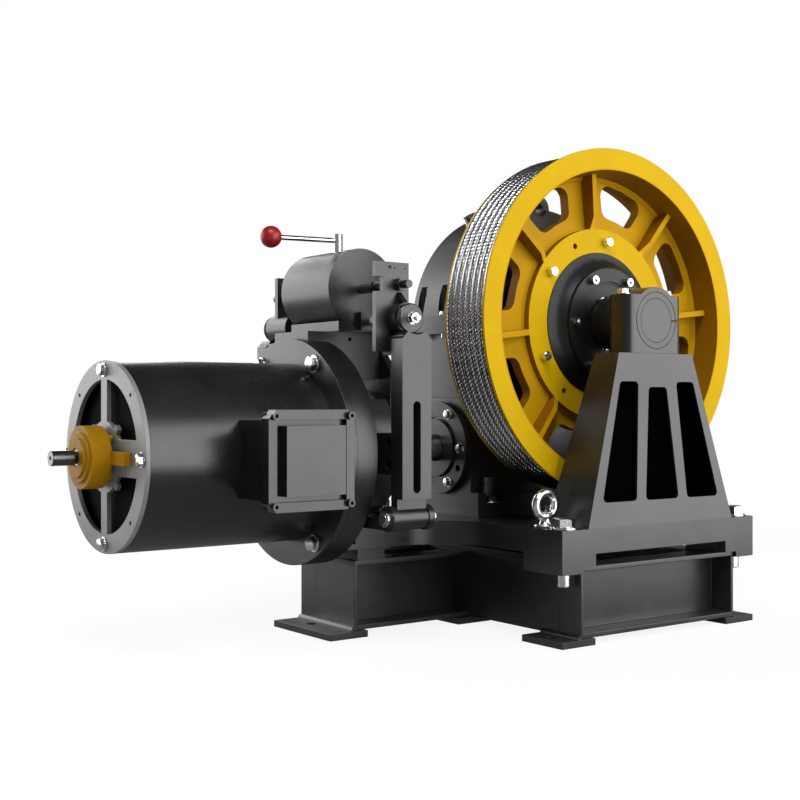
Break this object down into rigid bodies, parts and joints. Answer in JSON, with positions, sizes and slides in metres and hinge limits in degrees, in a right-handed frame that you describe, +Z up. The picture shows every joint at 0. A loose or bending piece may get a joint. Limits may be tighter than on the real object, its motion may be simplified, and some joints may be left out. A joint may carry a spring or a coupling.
{
  "type": "elevator traction machine",
  "caption": "Geared elevator traction machine: flange motor, double-shoe brake, worm gear and rope sheave with outboard pedestal on a welded base frame.",
  "frame": {"origin": "middle of the four main anchor holes, on the floor", "axes": "+Z up, X along the worm and motor axis with the motor towards -X, Y along the sheave axis with the sheave towards -Y"},
  "size_m": [1.348, 0.636, 0.909],
  "materials": {
    "bearing_steel": "ground bearing steel",
    "black_screws": "black oxide socket screws",
    "cast_drum": "machined grey cast iron",
    "encoder_yellow": "semi-gloss amber yellow enamel",
    "fan_plastic": "black glass-filled plastic",
    "frame_paint": "satin dark charcoal enamel over welded steel",
    "machine_paint": "satin dark charcoal enamel over cast iron and steel",
    "machined_steel": "turned bare steel, lightly oiled",
    "motor_grey": "satin mid grey enamel",
    "red_ball": "glossy deep red plastic ball",
    "rope_steel": "bright stranded steel wire",
    "sheave_yellow": "satin signal yellow enamel over cast iron",
    "winding": "varnished copper windings in a laminated core",
    "worm_bronze": "machined tin bronze",
    "zinc_bolts": "bright zinc plated steel"
  },
  "bodies": {
    "frame": {"foot_plates": "frame_paint", "frame_front": "frame_paint", "frame_rear": "frame_paint", "frame_sides": "frame_paint", "tail_beam": "frame_paint", "frame_welds": "frame_paint", "bed": "machine_paint", "bed_bolts": "zinc_bolts", "eye_bolts": "zinc_bolts", "pedestal": "machine_paint", "pedestal_bolts": "zinc_bolts", "clamp_block": "machine_paint", "block_bolts": "zinc_bolts", "outboard_pin": "machine_paint", "gear_housing": "machine_paint", "gear_cover": "machine_paint", "housing_bolts": "zinc_bolts", "side_covers": "machine_paint", "main_bearings": "bearing_steel", "worm_caps": "machine_paint", "cap_bolts": "zinc_bolts", "worm_bearings": "bearing_steel", "oil_fittings": "zinc_bolts", "motor_stator": "winding", "motor_shell": "machine_paint", "rear_plate": "motor_grey", "rear_plate_bolts": "zinc_bolts", "motor_flange": "machine_paint", "bell_housing": "machine_paint", "flange_bolts": "zinc_bolts", "terminal_box": "machine_paint", "box_cover": "machine_paint", "encoder": "encoder_yellow", "pivot_pins": "zinc_bolts", "brake_springs": "machined_steel", "spring_rods": "zinc_bolts", "solenoid": "machine_paint"},
    "sheave_shaft": {"sheave": "sheave_yellow", "sheave_hub": "machine_paint", "hub_cover": "machine_paint", "hub_bolts": "zinc_bolts", "cover_screws": "black_screws", "outboard_bearing": "bearing_steel", "ropes": "rope_steel", "main_shaft": "machined_steel", "wheel_rim": "worm_bronze", "wheel_centre": "machine_paint"},
    "input_line": {"worm_shaft": "machined_steel", "brake_drum": "cast_drum", "motor_shaft": "machined_steel", "motor_rotor": "cast_drum", "motor_fan": "fan_plastic"},
    "front_brake_arm": {"front_arm": "machine_paint", "front_shoe": "machine_paint"},
    "rear_brake_arm": {"rear_arm": "machine_paint", "rear_shoe": "machine_paint"},
    "front_plunger": {"front_plunger": "machined_steel"},
    "rear_plunger": {"rear_plunger": "machined_steel"},
    "release_lever": {"release_lever": "zinc_bolts", "lever_ball": "red_ball"}
  },
  "joints": [
    {"name": "sheave_spin", "type": "hinge", "parent": "frame", "child": "sheave_shaft", "pos_m": [0, 0, 0.577], "axis": [0, 1, 0], "continuous": true},
    {"name": "input_spin", "type": "hinge", "parent": "frame", "child": "input_line", "pos_m": [-0.46, 0.085, 0.336], "axis": [1, 0, 0], "continuous": true},
    {"name": "front_arm_pivot", "type": "hinge", "parent": "frame", "child": "front_brake_arm", "pos_m": [-0.46, -0.132, 0.226], "axis": [1, 0, 0], "range_deg": [0, 0.4], "stiffness_Nm_per_rad": 6000, "springref_deg": -1.15, "deforming": ["brake_springs"]},
    {"name": "rear_arm_pivot", "type": "hinge", "parent": "frame", "child": "rear_brake_arm", "pos_m": [-0.46, 0.302, 0.226], "axis": [-1, 0, 0], "range_deg": [0, 0.4]},
    {"name": "front_plunger_slide", "type": "slide", "parent": "frame", "child": "front_plunger", "axis": [0, -1, 0], "range_m": [0, 0.003]},
    {"name": "rear_plunger_slide", "type": "slide", "parent": "frame", "child": "rear_plunger", "axis": [0, 1, 0], "range_m": [0, 0.003]},
    {"name": "release_turn", "type": "hinge", "parent": "frame", "child": "release_lever", "pos_m": [-0.46, 0.085, 0.631], "axis": [0, 0, 1], "range_deg": [0, 35]}
  ],
  "couplings": [
    {"joint": "input_spin", "follows": "sheave_spin", "ratio": -49},
    {"joint": "rear_arm_pivot", "follows": "front_arm_pivot", "ratio": 1},
    {"joint": "front_plunger_slide", "follows": "front_arm_pivot", "m_per_rad": 0.405},
    {"joint": "rear_plunger_slide", "follows": "front_arm_pivot", "m_per_rad": 0.405}
  ]
}
